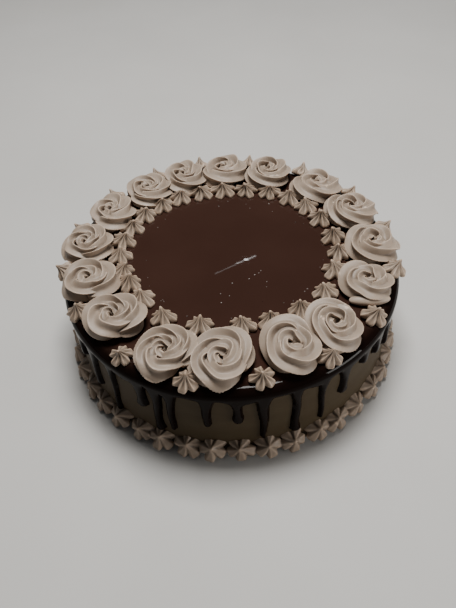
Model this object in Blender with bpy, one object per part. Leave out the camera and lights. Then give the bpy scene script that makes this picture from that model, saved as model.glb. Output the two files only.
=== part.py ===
"""Round chocolate cake: a frosted body, a poured chocolate glaze with drips, a ring of piped
roses, small piped stars on both sides of that ring, and a piped border round the foot.

The origin is the centre of the flat base, +Z is up and -Y is the front. The sizes below are
in millimetres, and MM turns them into metres where a mesh is made.
"""
import math
import random

import bmesh
import bpy
from mathutils import Vector

MM = 0.001
GAP = 0.3                       # clearance between pieces that touch

# Frosted body
CAKE_HEIGHT = 55.0              # base to the glaze's flat top
WALL_RADIUS = 90.5
WALL_SIDES = 48
WALL_CHAMFER = 1.5

# Poured glaze
GLAZE_RADIUS = 93.0
GLAZE_THICKNESS = 2.2
GLAZE_SHOULDER = 5.0            # rounding of the top edge
GLAZE_BAND_EDGE = 47.0          # height of the lower edge between drips
GLAZE_LIP = 1.5                 # rounding of the lower edge
DRIP_LOWEST = 18.0              # drips stop above the border
DRIP_BULGE = 0.5
DRIP_SEED = 7
# Drips on the side that faces the front: azimuth in degrees, height of the tip, half width
FRONT_DRIPS = (
    (207.5, 31.0, 2.6), (216.5, 20.0, 2.6), (226.5, 18.0, 2.5), (238.0, 28.5, 2.9),
    (246.0, 18.0, 4.6), (260.0, 25.5, 3.0), (269.5, 29.0, 2.6), (278.0, 18.0, 3.6),
    (288.3, 18.0, 2.6), (297.3, 18.5, 2.7), (306.0, 27.0, 3.3), (315.0, 38.0, 2.5),
    (323.5, 35.0, 3.0), (333.0, 25.0, 2.7),
)

ROSE_HEIGHT = 12.6
ROSES = (                       # azimuth in degrees, distance from the axis, radius
    (216.5, 76.0, 15.7), (244.0, 78.0, 15.1), (264.5, 76.3, 15.9), (291.2, 75.2, 15.4),
    (310.3, 76.7, 15.1), (339.0, 76.5, 14.8), (0.5, 80.0, 15.7), (23.5, 79.8, 15.2),
    (46.0, 80.6, 14.9), (70.0, 79.6, 14.7), (90.5, 79.8, 14.9), (109.5, 80.0, 14.7),
    (127.5, 80.4, 14.6), (149.0, 81.3, 14.9), (171.5, 82.0, 15.4), (193.0, 78.4, 15.4),
)
ROSE_PETALS = 5
ROSE_PETAL_GROOVE = (0.0, 0.35, 1.0, 0.6)    # depth across one petal, crest to crest
ROSE_TWIST = 120.0              # degrees that a crest turns from the rim to the eye
# Each ring of a rose: share of its radius, share of its height, depth of the grooves
ROSE_RINGS = (
    (0.74, 0.00, 0.06), (1.00, 0.36, 0.09), (0.92, 0.72, 0.11), (0.68, 0.93, 0.10),
    (0.46, 0.82, 0.06), (0.30, 1.00, 0.12), (0.10, 0.72, 0.00),
)
ROSE_EYE_HEIGHT = 0.62
ROSE_DROOP = 0.5                # share of the shoulder's fall that a rim follows

# Small stars
STAR_PETALS = 5
STAR_PETAL_GROOVE = (1.0, 0.0, 0.0)          # one narrow valley, one wide petal
# Each ring of a star: share of its radius, share of its height, depth of the valleys
STAR_RINGS = ((0.66, 0.0, 0.22), (1.0, 0.30, 0.40), (0.46, 0.74, 0.40))
STAR_HEIGHT = 8.5
INNER_STAR_RADIUS = 7.2
INNER_STARS = (                 # azimuth in degrees, distance from the axis
    (197.5, 58.5), (211.0, 56.5), (230.5, 57.0), (250.8, 54.0), (274.5, 52.5),
    (291.0, 53.5), (308.5, 55.5), (327.3, 58.0), (345.0, 58.8), (359.0, 60.5),
    (12.0, 61.0), (28.5, 62.3), (41.2, 63.3), (53.5, 64.0), (66.0, 64.0), (78.8, 62.5),
    (91.7, 63.0), (104.5, 63.5), (116.5, 64.3), (128.5, 64.5), (140.3, 65.0),
    (151.8, 65.0), (163.3, 64.0), (175.3, 62.5), (187.0, 60.5),
)
OUTER_STAR_RADIUS = 6.8
OUTER_STAR_STEP = 12.0          # outward from the middle of the line between two roses
OUTER_STAR_LIMIT = 90.6         # farthest from the axis that a star is piped
STAR_SEED = 11

# Border round the foot
BORDER_FLOWERS = 42
BORDER_FLOWER_RADIUS = 7.6
BORDER_FLOWER_HEIGHT = 6.0
BORDER_FLOWER_TILT = 50.0
# Each ring of a border flower: share of its radius, share of its height, depth of the valleys
BORDER_FLOWER_RINGS = ((0.76, 0.0, 0.20), (1.0, 0.42, 0.32))
BORDER_SEAT_RADIUS = 91.8       # centre of a flower's back, at the foot of the wall
BORDER_SEAT_HEIGHT = 6.2
BORDER_CORE_RADII = (91.1, 95.5)
BORDER_CORE_HEIGHT = 4.2
BORDER_WALL_CLEARANCE = 90.95   # flowers are cut flat here
BORDER_SEED = 5

COLOURS = {
    "frosting": ((0.23, 0.165, 0.115), 0.55),
    "glaze": ((0.030, 0.014, 0.010), 0.12),
    "rose_cream": ((0.42, 0.33, 0.26), 0.5),
    "star_cream": ((0.40, 0.31, 0.24), 0.5),
    "border_cream": ((0.36, 0.27, 0.20), 0.5),
}


def clear_scene():
    for obj in list(bpy.data.objects):
        bpy.data.objects.remove(obj, do_unlink=True)


def make_material(name):
    colour, roughness = COLOURS[name]
    material = bpy.data.materials.new(name)
    material.use_nodes = True
    shader = material.node_tree.nodes["Principled BSDF"]
    shader.inputs["Base Color"].default_value = (*colour, 1.0)
    shader.inputs["Roughness"].default_value = roughness
    shader.inputs["Metallic"].default_value = 0.0
    return material


def direction(azimuth):
    angle = math.radians(azimuth)
    return Vector((math.cos(angle), math.sin(angle)))


def circle(radius, height, sides):
    return [(*(direction(360.0 * i / sides) * radius), height) for i in range(sides)]


def ring_mesh(rings, tip=None, hollow=False):
    """Closed bmesh through rings of equally many points, from the underside's cap upwards.

    The last ring is closed by a flat cap, or by a fan to the tip if one is given. A hollow one
    has no caps: its last ring joins its first, as in a band.
    """
    mesh = bmesh.new()
    loops = [[mesh.verts.new(Vector(point) * MM) for point in ring] for ring in rings]
    count = len(loops[0])
    pairs = list(zip(loops, loops[1:] + loops[:1] if hollow else loops[1:]))
    for low, high in pairs:
        for i in range(count):
            j = (i + 1) % count
            mesh.faces.new((low[i], low[j], high[j], high[i]))
    if hollow:
        return mesh
    mesh.faces.new(list(reversed(loops[0])))
    if tip is None:
        mesh.faces.new(loops[-1])
    else:
        top = mesh.verts.new(Vector(tip) * MM)
        for i in range(count):
            mesh.faces.new((loops[-1][i], loops[-1][(i + 1) % count], top))
    return mesh


def add_object(name, mesh, material, sharp_angle=50.0):
    data = bpy.data.meshes.new(name)
    mesh.to_mesh(data)
    mesh.free()
    data.materials.append(material)
    data.shade_smooth()
    data.set_sharp_from_angle(angle=math.radians(sharp_angle))
    obj = bpy.data.objects.new(name, data)
    bpy.context.scene.collection.objects.link(obj)
    return obj


def shoulder_height(radius):
    """Height of the glazed surface at a distance from the axis."""
    inner = GLAZE_RADIUS - GLAZE_SHOULDER
    over = min(max(radius - inner, 0.0), GLAZE_SHOULDER)
    return CAKE_HEIGHT - GLAZE_SHOULDER + math.sqrt(GLAZE_SHOULDER ** 2 - over ** 2)


def shoulder_slope(radius):
    """How far the glazed surface leans outward at a distance from the axis, in radians."""
    over = min(max(radius - (GLAZE_RADIUS - GLAZE_SHOULDER), 0.0), GLAZE_SHOULDER)
    return math.asin(over / GLAZE_SHOULDER)


def build_body(material):
    top = CAKE_HEIGHT - GLAZE_THICKNESS - GAP
    profile = (
        (WALL_RADIUS - WALL_CHAMFER, 0.0), (WALL_RADIUS, WALL_CHAMFER),
        (WALL_RADIUS, top - WALL_CHAMFER), (WALL_RADIUS - WALL_CHAMFER, top),
    )
    rings = [circle(radius, height, WALL_SIDES) for radius, height in profile]
    add_object("cake_body", ring_mesh(rings), material)


def all_drips():
    """The front drips, then drips of like sizes round the rest of the cake."""
    rng = random.Random(DRIP_SEED)
    drips = list(FRONT_DRIPS)
    azimuth = FRONT_DRIPS[-1][0] + 9.5
    last = FRONT_DRIPS[0][0] + 360.0 - 7.0
    while azimuth < last:
        drips.append((azimuth, rng.uniform(DRIP_LOWEST, 36.0), rng.uniform(2.4, 3.6)))
        azimuth += rng.uniform(8.3, 11.0)
    return drips


def glaze_columns():
    """Azimuth, height of the lower edge and bulge of each column, five to a drip."""
    columns = []
    for azimuth, tip, half_width in all_drips():
        shape = (
            (-1.35, GLAZE_BAND_EDGE, 0.0), (-0.85, tip + 0.5 * half_width, 0.6), (0.0, tip, 1.0),
            (0.85, tip + 0.5 * half_width, 0.6), (1.35, GLAZE_BAND_EDGE, 0.0),
        )
        for across, edge, bulge in shape:
            turn = math.degrees(across * half_width / GLAZE_RADIUS)
            columns.append((azimuth + turn, edge, bulge * DRIP_BULGE))
    return columns


def build_glaze(material):
    inner = WALL_RADIUS + GAP
    under_top = CAKE_HEIGHT - GLAZE_THICKNESS
    flat = GLAZE_RADIUS - GLAZE_SHOULDER
    rounded = flat + GLAZE_SHOULDER * math.sin(math.radians(45.0))
    rings = [[] for _ in range(6)]
    for azimuth, edge, bulge in glaze_columns():
        points = (
            (inner, under_top),
            (inner + 0.2, edge),
            (GLAZE_RADIUS + bulge, edge + GLAZE_LIP),
            (GLAZE_RADIUS, CAKE_HEIGHT - GLAZE_SHOULDER),
            (rounded, shoulder_height(rounded)),
            (flat, CAKE_HEIGHT),
        )
        for ring, (radius, height) in zip(rings, points):
            ring.append((*(direction(azimuth) * radius), height))
    add_object("ganache", ring_mesh(rings), material)


def rose_places():
    """Centre and radius of each rose."""
    places = []
    for azimuth, distance, radius in ROSES:
        places.append((direction(azimuth) * distance, radius))
    return places


def outer_star_places(roses):
    """Centre of each outer star: near the shoulder, in the gap between two roses."""
    places = []
    for (first, _), (second, _) in zip(roses, roses[1:] + roses[:1]):
        middle = (first + second) / 2.0
        reach = min(middle.length + OUTER_STAR_STEP, OUTER_STAR_LIMIT)
        places.append((middle.normalized() * reach, OUTER_STAR_RADIUS))
    return places


def cell_limit(place, others, heading):
    """How far a piece may reach from its centre before it would press into a neighbour."""
    centre, radius = place
    limit = math.inf
    for other, other_radius in others:
        apart = (other - centre).length
        if apart < 1.0 or apart > radius + other_radius + 1.0:
            continue
        wall = (apart ** 2 + radius ** 2 - other_radius ** 2) / (2.0 * apart) - GAP / 2.0
        facing = heading.dot((other - centre) / apart)
        if facing > 0.05:
            limit = min(limit, wall / facing)
    return limit


def kept_in_cell(point, place, others):
    """The point, moved in towards its piece's centre where it would press into a neighbour."""
    centre = place[0]
    offset = Vector(point[:2]) - centre
    reach = offset.length
    if reach < 0.01:
        return point
    heading = offset / reach
    kept = min(reach, cell_limit(place, others, heading))
    return (*(centre + heading * kept), point[2])


def rose_point(place, azimuth, ring, groove):
    """A point of a rose: its rim follows the shoulder down a little."""
    centre, radius = place
    share, level, depth = ring
    spot = centre + direction(azimuth) * radius * share * (1.0 - depth * groove)
    height = CAKE_HEIGHT + GAP + ROSE_HEIGHT * level * (1.0 - depth * groove)
    if level > 0.0:
        height -= ROSE_DROOP * (CAKE_HEIGHT - shoulder_height(spot.length)) * share
    return (*spot, height)


def build_rose(name, place, others, start, material):
    sides = ROSE_PETALS * len(ROSE_PETAL_GROOVE)
    rings = []
    for ring in ROSE_RINGS:
        twist = -ROSE_TWIST * (1.0 - ring[0])
        points = []
        for i in range(sides):
            azimuth = start + twist + 360.0 * i / sides
            groove = ROSE_PETAL_GROOVE[i % len(ROSE_PETAL_GROOVE)]
            point = rose_point(place, azimuth, ring, groove)
            points.append(kept_in_cell(point, place, others))
        rings.append(points)
    eye = (*place[0], CAKE_HEIGHT + GAP + ROSE_HEIGHT * ROSE_EYE_HEIGHT)
    add_object(name, ring_mesh(rings, eye), material)


def star_rings(base, lean, radius, height, start):
    """Rings and tip of a star that stands on base and points along lean."""
    side = lean.orthogonal().normalized()
    across = lean.cross(side)
    sides = STAR_PETALS * len(STAR_PETAL_GROOVE)
    rings = []
    for share, level, depth in STAR_RINGS:
        ring = []
        for i in range(sides):
            azimuth = start + 360.0 * i / sides
            groove = STAR_PETAL_GROOVE[i % len(STAR_PETAL_GROOVE)]
            spoke = direction(azimuth) * radius * share * (1.0 - depth * groove)
            ring.append(base + side * spoke.x + across * spoke.y + lean * height * level)
        rings.append(ring)
    return rings, base + lean * height


def build_star(name, place, others, base, lean, rng, material):
    centre, radius = place
    height = STAR_HEIGHT * rng.uniform(0.9, 1.1)
    rings, tip = star_rings(base, lean, radius * rng.uniform(0.94, 1.0), height, rng.uniform(0.0, 72.0))
    rings = [[kept_in_cell(tuple(point), place, others) for point in ring] for ring in rings]
    add_object(name, ring_mesh(rings, kept_in_cell(tuple(tip), place, others)), material)


def build_toppings(rose_material, star_material):
    roses = rose_places()
    inner = [(direction(azimuth) * distance, INNER_STAR_RADIUS) for azimuth, distance in INNER_STARS]
    outer = outer_star_places(roses)
    pieces = roses + inner + outer
    rng = random.Random(STAR_SEED)
    for i, place in enumerate(roses):
        others = [piece for piece in pieces if piece is not place]
        build_rose(f"rose_{i + 1:02d}", place, others, rng.uniform(0.0, 72.0), rose_material)
    for i, place in enumerate(inner):
        others = [piece for piece in pieces if piece is not place]
        inward = -place[0].normalized() * 0.18
        lean = Vector((*inward, 1.0)).normalized()
        base = Vector((*place[0], CAKE_HEIGHT + GAP + INNER_STAR_RADIUS * 0.62 * 0.18))
        build_star(f"inner_star_{i + 1:02d}", place, others, base, lean, rng, star_material)
    for i, place in enumerate(outer):
        others = [piece for piece in pieces if piece is not place]
        tilt = shoulder_slope(place[0].length)
        outward = place[0].normalized() * math.sin(tilt)
        lean = Vector((*outward, math.cos(tilt)))
        base = Vector((*place[0], shoulder_height(place[0].length))) + lean * GAP
        build_star(f"outer_star_{i + 1:02d}", place, others, base, lean, rng, star_material)


def apply_modifier(obj, modifier):
    with bpy.context.temp_override(object=obj, active_object=obj, selected_objects=[obj]):
        bpy.ops.object.modifier_apply(modifier=modifier.name)


def border_flower(azimuth, rng):
    """One flower of the border, cut flat where it would reach into the wall."""
    outward = direction(azimuth)
    lean_angle = math.radians(BORDER_FLOWER_TILT + rng.uniform(-5.0, 5.0))
    lean = Vector((*(outward * math.sin(lean_angle)), math.cos(lean_angle)))
    base = Vector((*(outward * BORDER_SEAT_RADIUS), BORDER_SEAT_HEIGHT + rng.uniform(-0.4, 0.4)))
    side = Vector((-outward.y, outward.x, 0.0))
    across = lean.cross(side)
    start = rng.uniform(-12.0, 12.0) - 90.0
    radius = BORDER_FLOWER_RADIUS * rng.uniform(0.95, 1.03)
    rings = []
    for share, level, depth in BORDER_FLOWER_RINGS:
        ring = []
        for i in range(2 * STAR_PETALS):
            spoke = direction(start + 180.0 * i / STAR_PETALS) * radius * share * (1.0 - depth * (i % 2))
            ring.append(base + side * spoke.x + across * spoke.y + lean * BORDER_FLOWER_HEIGHT * level)
        rings.append(ring)
    mesh = ring_mesh(rings, base + lean * BORDER_FLOWER_HEIGHT)
    normal = Vector((*outward, 0.0))
    bmesh.ops.bisect_plane(
        mesh, geom=mesh.verts[:] + mesh.edges[:] + mesh.faces[:], dist=1e-7,
        plane_co=normal * BORDER_WALL_CLEARANCE * MM, plane_no=normal, clear_inner=True,
    )
    bmesh.ops.holes_fill(mesh, edges=[edge for edge in mesh.edges if edge.is_boundary])
    return mesh


def build_border(material):
    """A band on the floor, joined to a row of flowers that lean out from the wall."""
    low, high = BORDER_CORE_RADII
    corners = ((high, 0.0), (high, BORDER_CORE_HEIGHT), (low, BORDER_CORE_HEIGHT), (low, 0.0))
    core = [circle(radius, height, BORDER_FLOWERS) for radius, height in corners]
    border = add_object("base_border", ring_mesh(core, hollow=True), material)
    rng = random.Random(BORDER_SEED)
    flowers = bpy.data.collections.new("border_flowers")
    bpy.context.scene.collection.children.link(flowers)
    for i in range(BORDER_FLOWERS):
        azimuth = 360.0 * (i + 0.5 + rng.uniform(-0.06, 0.06)) / BORDER_FLOWERS
        flower = add_object(f"flower_{i}", border_flower(azimuth, rng), material)
        bpy.context.scene.collection.objects.unlink(flower)
        flowers.objects.link(flower)
    union = border.modifiers.new("join", "BOOLEAN")
    union.operation = "UNION"
    union.operand_type = "COLLECTION"
    union.collection = flowers
    apply_modifier(border, union)
    for flower in list(flowers.objects):
        bpy.data.objects.remove(flower, do_unlink=True)
    bpy.data.collections.remove(flowers)


def main():
    clear_scene()
    build_body(make_material("frosting"))
    build_glaze(make_material("glaze"))
    build_toppings(make_material("rose_cream"), make_material("star_cream"))
    build_border(make_material("border_cream"))


main()
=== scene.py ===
"""Looks of a round chocolate cake: poured glaze with drips, piped roses, stars and a border.

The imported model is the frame. Sizes below are in millimetres unless a comment says otherwise,
and MM turns them into metres where a mesh is made.
"""

import math
import random

import bmesh
import bpy
import numpy as np
from mathutils import Matrix, Vector


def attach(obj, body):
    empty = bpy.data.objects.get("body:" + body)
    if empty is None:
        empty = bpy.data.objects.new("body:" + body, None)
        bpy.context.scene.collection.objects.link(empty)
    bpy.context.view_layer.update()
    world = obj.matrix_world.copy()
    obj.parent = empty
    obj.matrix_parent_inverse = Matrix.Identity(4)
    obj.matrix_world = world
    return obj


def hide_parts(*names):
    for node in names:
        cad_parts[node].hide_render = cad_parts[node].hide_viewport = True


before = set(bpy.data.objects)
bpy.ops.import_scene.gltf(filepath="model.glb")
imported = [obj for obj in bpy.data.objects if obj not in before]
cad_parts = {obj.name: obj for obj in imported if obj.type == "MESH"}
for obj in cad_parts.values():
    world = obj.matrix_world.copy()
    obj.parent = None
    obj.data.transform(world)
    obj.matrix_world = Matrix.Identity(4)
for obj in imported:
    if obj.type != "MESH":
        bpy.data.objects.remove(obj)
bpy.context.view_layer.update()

MM = 0.001
FULL_TURN = 2.0 * math.pi
PHASES = (0.0, 6.28)            # where a random wave may start
TINY = 0.001                    # keeps comparisons and divisions safe
CAKE_TOP = 55.0                 # the glaze's flat top
WALL_RADIUS = 90.5
GLAZE_RADIUS = 93.0
SHOULDER = 5.0                  # rounding of the glaze's top edge
SHOULDER_REACH = 0.96           # pieces that lie on it follow it over this share of its width

# Camera: focal length and frame height in pixels of the photograph, angles in degrees
FOCAL_PIXELS = 650.0
FRAME_HEIGHT = 608.0
SENSOR_HEIGHT = 36.0
CAMERA_PITCH = 46.0
CAMERA_ROLL = -2.95
CAMERA_DISTANCE = 415.7
CAMERA_TARGET = Vector((-2.6, 18.4, 0.0))
CAMERA_CLIP = (0.01, 20.0)      # metres

# Studio lights: name, place, target and size in metres, power in watts, colour
STUDIO_LIGHTS = (
    ("overhead", (0.02, 0.17, 0.94), (0.0, 0.0, 0.05), (0.34, 0.34), 12.0, (1.0, 0.985, 0.96)),
    ("side", (0.64, -0.36, 0.15), (0.0, 0.0, 0.02), (0.30, 0.20), 2.1, (1.0, 0.97, 0.93)),
)
SKY_COLOUR = (0.95, 0.97, 1.0, 1.0)
SKY_STRENGTH = 0.08
FLOOR_HALF = 2000.0

# Small lights that the flat glaze mirrors to the camera: the places of their images on it, then
# sizes in metres and powers in watts
MIRROR_DISTANCE = 900.0
STREAK_POINTS = (
    Vector((-8.9, -12.2, CAKE_TOP)),
    Vector((3.5, -4.9, CAKE_TOP)),
    Vector((15.0, 1.5, CAKE_TOP)),
)
STREAK_POWERS = (0.002, 0.007)  # it fades towards its left end
STREAK_WIDTH = 0.0022
SPARK_POINT = Vector((9.2, -1.4, CAKE_TOP))
SPARK_SIZE = (0.008, 0.0040)
SPARK_POWER = 0.0055

# Creams: the colours of darker and paler patches, and roughness. The star and border creams are the rose
# cream made darker, as painted shade
ROSE_CREAM = ((0.302, 0.233, 0.178), (0.360, 0.284, 0.223), 0.46)
STAR_CREAM_PAINTED_SHADE = ((0.258, 0.193, 0.142), (0.312, 0.239, 0.181), 0.48)
BORDER_CREAM_PAINTED_SHADE = ((0.222, 0.165, 0.120), (0.270, 0.205, 0.152), 0.5)

# Painted shade and painted highlight: every cream is darkened in its grooves and paled on its crests, by
# how sharp the surface is there
PAINTED_SHADE_POINTINESS = (0.44, 0.58) # of grooves and of crests
PAINTED_SHADE_AND_HIGHLIGHT = (0.28, 1.98)     # painted shade in the grooves and painted highlight on the crests: how dark and how pale

# Specular level of the glaze on top, and on the side, where a pale floor is mirrored in it
TOP_SPECULAR = 0.09
SIDE_SPECULAR = 0.03
PAINTED_SHADE_SHARE = 0.16            # painted shade: the glaze's colour past its shoulder, as a share of that on top
PAINTED_SHADE_RADII = (80.0, 90.5)        # the painted shade deepens between these distances from the axis

# Frosted body
BODY_TOP = CAKE_TOP - 2.6
BODY_SIDES = 360
BODY_ROWS = 28
BODY_INSET = 0.25               # its skin lies this far inside the wall's nominal radius
BODY_EDGE_STEPS = (1.5, 0.6)    # its edges are rounded in two steps, which start this far in
BODY_WAVES = 9
BODY_WAVINESS = 0.35
BODY_WAVE_COUNTS = (2, 9)       # ranges of how often a wave comes in a turn, its size and its twist
BODY_WAVE_SIZES = (0.03, 0.12)
BODY_WAVE_TWISTS = (-0.03, 0.03)
BODY_SEED = 3

# Drips in front: azimuth in degrees, height of the tip, half width, share of it near the tip
DRIPS = (
    (207.5, 30.0, 2.5, 0.9), (216.5, 19.0, 2.5, 0.9), (226.3, 11.0, 1.7, 0.8),
    (238.0, 28.4, 2.5, 1.1), (243.6, 13.0, 2.6, 0.8), (248.4, 17.0, 2.4, 0.7),
    (260.0, 25.5, 2.9, 0.7), (269.5, 28.8, 2.1, 1.05), (277.7, 14.0, 3.0, 0.5),
    (288.3, 13.0, 2.2, 1.0), (297.4, 15.5, 2.0, 0.7), (306.0, 26.5, 2.8, 0.8),
    (315.5, 37.5, 2.2, 0.9), (323.5, 33.5, 2.6, 1.0), (333.0, 25.0, 2.3, 0.9),
)
# Drips round the rest of the cake: ranges of the same sizes, and of the degrees between them
FAR_DRIP_TIPS = (14.0, 36.0)
FAR_DRIP_HALF_WIDTHS = (2.0, 2.9)
FAR_DRIP_SHARES = (0.6, 1.1)
FAR_DRIP_STEPS = (7.6, 10.8)
FAR_DRIP_MARGINS = (9.5, 7.0)   # degrees left free next to the drips in front
DRIP_SEED = 7
DRIP_SPAN = 7.0                 # degrees to each side that a drip can reach
DRIP_BLEND = 1.1                # how softly drips and band run into each other
DRIP_ROUNDING = 2.4             # how far in from its edge the glaze reaches its full thickness
DRIP_WOBBLE = 0.35              # how far a drip strays to the side, and its rate with height
DRIP_WOBBLE_RATE = 0.25
DRIP_WIDENING = 1.3             # how soon above its tip a drip has its full width
BULB_FROM = 0.75                # a drip with a larger share than this ends in a bulb
BULB_SIZE = 0.35
BULB_HEIGHT = 3.0
ROOT_WIDTH = 1.2                # a drip widens by this towards the band
ROOT_START = 38.0
ROOT_HEIGHT = 10.0

# Glaze
GLAZE_COLUMNS = 1080
GLAZE_ROWS = 66
GLAZE_LOWEST = 9.0
GLAZE_SIDE_TOP = 52.5           # the side's material ends here
BAND_EDGE = 46.5
BAND_WAVES = (11, 17, 29)
BAND_WAVE_SIZE = 0.7
BAND_SEED = 13
LOWER_SKIN = 0.86               # the skin's thickness low on the wall, as a share of that above
SKIN_THICKENS = (40.0, 10.0)    # the height where it starts to thicken, and over how far
HIDDEN_DEPTH = 0.6              # the glaze's back lies this far under the frosting's skin
EDGE_SKIN = 0.05
FLATTEST_SLOPE = 0.05
SHOULDER_ANGLES = (10.0, 20.0, 30.0, 40.0, 50.0, 58.0, 65.0, 71.0, 76.0, 80.0, 84.0, 87.0, 90.0)
UNDER_ROSES = np.linspace(86.5, 78.0, 6)    # radii of rings with all columns
THINNING_RADII = (76.0, 74.0, 60.0)         # each of these rings has half as many as the last
OPEN_RADII = np.linspace(56.0, 2.0, 20)
UNDERSIDE = CAKE_TOP - 2.2
UNDERSIDE_RADII = (88.0, 84.0, 78.0)
RIPPLES = 6
RIPPLE_STEEPNESS = 0.12
RIPPLE_SIZE = 0.012
RIPPLE_SEED = 17

# Bubbles in the flat glaze: most lie by the stars, every third one on the open part in front
BUBBLES = 46
BUBBLE_SEED = 9
BUBBLE_RADII = (0.22, 0.42)
BUBBLE_DETAIL = (5, 10)         # rings and sides
BY_STARS = ((0.0, 360.0), (47.0, 55.0))     # ranges of azimuth and distance from the axis
IN_FRONT = ((250.0, 330.0), (18.0, 46.0))

# Roses: azimuth in degrees, distance from the axis, radius, turns of the rope, azimuth of its
# tail from the outward direction, height share, crests of the rope, lean outward in degrees,
# stretch outward
ROSES = (
    (216.5, 76.0, 15.6, 1.95, 72.0, 1.00, 5, 4.0, 1.00),
    (244.0, 78.0, 15.0, 1.97, 70.0, 1.00, 6, 5.0, 1.04),
    (264.5, 76.3, 15.4, 1.90, 66.0, 1.00, 6, 7.0, 1.14),
    (291.2, 75.2, 15.0, 1.95, 88.0, 1.00, 5, 7.0, 1.09),
    (310.3, 76.7, 14.4, 2.00, 80.0, 1.00, 6, 5.0, 1.08),
    (339.0, 76.5, 14.4, 1.75, 90.0, 0.86, 5, -2.0, 1.00),
    (0.5, 80.0, 15.3, 1.95, 80.0, 0.98, 5, 2.0, 1.00),
    (23.5, 79.8, 15.0, 1.90, 75.0, 1.00, 6, 2.0, 1.00),
    (46.0, 80.6, 15.3, 1.95, 85.0, 0.92, 5, 1.0, 1.00),
    (70.0, 79.6, 14.6, 1.85, 80.0, 0.96, 6, 0.0, 1.00),
    (90.5, 79.6, 14.9, 1.97, 75.0, 0.92, 5, 1.0, 1.00),
    (109.5, 79.6, 14.7, 1.91, 85.0, 0.92, 5, 0.0, 1.00),
    (127.5, 79.6, 14.9, 1.95, 80.0, 0.86, 6, 1.0, 1.00),
    (149.0, 81.0, 14.9, 1.89, 70.0, 0.95, 5, 2.0, 1.00),
    (171.5, 82.0, 15.2, 1.95, 85.0, 1.00, 6, 2.0, 1.00),
    (193.0, 78.4, 15.2, 1.99, 80.0, 1.00, 5, 3.0, 1.02),
)
ROSE_NOMINAL_RADIUS = 15.0
ROSE_PIVOT = 4.0                # height above the glaze that a rose leans about
ROSE_SETTLE = 0.75              # how much of the shoulder's fall a rose follows
ROSE_SETTLE_START = 84.0
ROSE_SETTLE_LENGTH = 8.0
ROSE_SEAT = 0.05
ROSE_VOXEL = 0.26
ROSE_SMOOTHING = 3
ROSE_KEPT_FACES = 0.28
ROSE_SEED = 21
HAND_SEED = 40

# The rope of a rose
ROPE_STEPS = 280
ROPE_SIDES = 100
ROPE_GROOVE_POWER = 0.8
ROPE_CREST_ROUNDING = 0.08
ROPE_RADII = (3.1, 6.2)         # at the eye and on the outer turn
ROPE_HEIGHTS = (7.26, 5.16)     # its middle above the glaze, at the eye and on the outer turn
ROPE_EYES = (1.3, 1.7)          # range of the distance from the rose's middle at its start
ROPE_GROOVES = (0.45, 0.51)     # range of how deep its grooves are, as a share of its radius
ROPE_SWINGS = (0.6, 0.95)       # range of how far its crests turn for each turn of the rope
ROPE_OVERHANG = 0.4             # its outer turn reaches this far past the rose's radius
ROPE_SPREAD = 0.95              # power by which its turns spread
ROPE_EYE_GROOVE = 0.35          # depth of its grooves at the eye, as a share of their full depth
ROPE_END_SIZES = (0.05, 0.02)   # least size at its start and at its end, as shares
ROPE_TAIL_PUSH = 2.3            # its tail is pushed out, then tucked in and sunk at its very end
ROPE_TAIL_TUCK = 1.0
ROPE_TAIL_SINK = 0.6
# Where along the rope a change starts and how long it lasts, as shares of its length. A change
# with one number starts at the eye
ROPE_START = 0.05
ROPE_GROOVES_DEEPEN = (0.0, 0.3)
ROPE_THICKENS = (0.0, 0.6)
ROPE_SINKS = (0.0, 0.85)
ROPE_PAST_EYE = (0.1, 0.3)
ROPE_REACHES_RIM = 0.68
ROPE_PUSHES_OUT = (0.7, 0.3)
ROPE_LEAVES = (0.9, 0.1)
# Unevenness of a hand that pipes: waves in a turn and their size
WAVER_OUT = ((2, 0.35), (3, 0.30), (5, 0.18))
WAVER_UP = ((2, 0.20), (3, 0.15))
WAVER_DEPTH = 0.22

# One rose was touched: a smooth fold lies along its near edge
PRESSED_ROSE = 5
PRESSED_FOLD = (70.4, -38.9, 57.3)
PRESSED_FOLD_SIZE = (10.8, 3.8, 2.8)
PRESSED_FOLD_DETAIL = (12, 40)  # rings and sides

# Small stars: azimuth in degrees and distance from the axis of those inside the ring of roses
INNER_STARS = (
    (197.5, 58.5), (211.0, 56.5), (230.5, 57.0), (250.8, 54.0), (274.5, 52.5),
    (291.0, 53.5), (308.5, 55.5), (327.3, 58.0), (345.0, 58.8), (359.0, 60.5),
    (12.0, 61.0), (28.5, 62.3), (41.2, 63.3), (53.5, 64.0), (66.0, 64.0), (78.8, 62.5),
    (91.7, 63.0), (104.5, 63.5), (116.5, 64.3), (128.5, 64.5), (140.3, 65.0),
    (151.8, 65.0), (163.3, 64.0), (175.3, 62.5), (187.0, 60.5),
)
INNER_STAR_RADIUS = 7.8
INNER_STAR_TILT = 0.12          # inward, as a slope
INNER_STAR_HEIGHTS = (0.92, 1.1)
INNER_STAR_SEAT = 0.02
TIP_INWARD = (-0.6, 2.4)        # range of how far a star's tip leans
TIP_SIDEWAYS = (-1.6, 1.6)
OUTER_STAR_RADIUS = 6.9
OUTER_STAR_STEP = 12.0          # outward from the middle of the line between two roses
OUTER_STAR_LIMIT = 90.6         # no star stands further from the axis
OUTER_STAR_LEAN = math.radians(12.0)
OUTER_STAR_HEIGHTS = (0.9, 1.08)
OUTER_TIP = (-1.0, 1.0)
STAR_SIZES = (0.94, 1.04)
STAR_HEIGHT = 8.7
STAR_SEED = 11

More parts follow.
